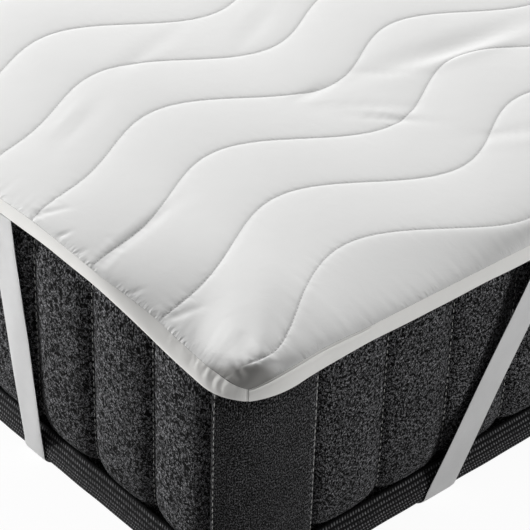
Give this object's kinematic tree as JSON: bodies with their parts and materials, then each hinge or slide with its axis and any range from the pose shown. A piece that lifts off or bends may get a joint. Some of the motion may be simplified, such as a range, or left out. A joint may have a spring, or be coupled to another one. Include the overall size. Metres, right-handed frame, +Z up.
{
  "type": "quilted mattress protector with elastic corner straps on a plain single mattress",
  "caption": "Flat quilted mattress pad with wavy stitched channels, sewn edge strips and elastic corner straps, fitted over a plain single mattress.",
  "frame": {"origin": "middle of the underside of the mattress, on the surface it rests on", "axes": "+X across the bed to its right-hand side, +Y along the bed from the front end to the back end, +Z up"},
  "size_m": [0.928, 2.004, 0.2485],
  "materials": {
    "pad": "smooth white microfibre, quilted",
    "binding": "white microfibre, folded and stitched",
    "elastic": "off-white ribbed woven elastic",
    "mattress": "anthracite melange knit, quilted",
    "tape": "dark ribbed woven tape"
  },
  "bodies": {
    "root": {"mattress": "mattress", "tapeFront": "tape", "tapeRight": "tape", "tapeBack": "tape", "tapeLeft": "tape", "pad": "pad", "bindingFront": "binding", "bindingLeft": "binding", "bindingBack": "binding", "bindingRight": "binding", "strapFrontRight": "elastic", "strapFrontLeft": "elastic", "strapBackRight": "elastic", "strapBackLeft": "elastic"}
  },
  "joints": []
}
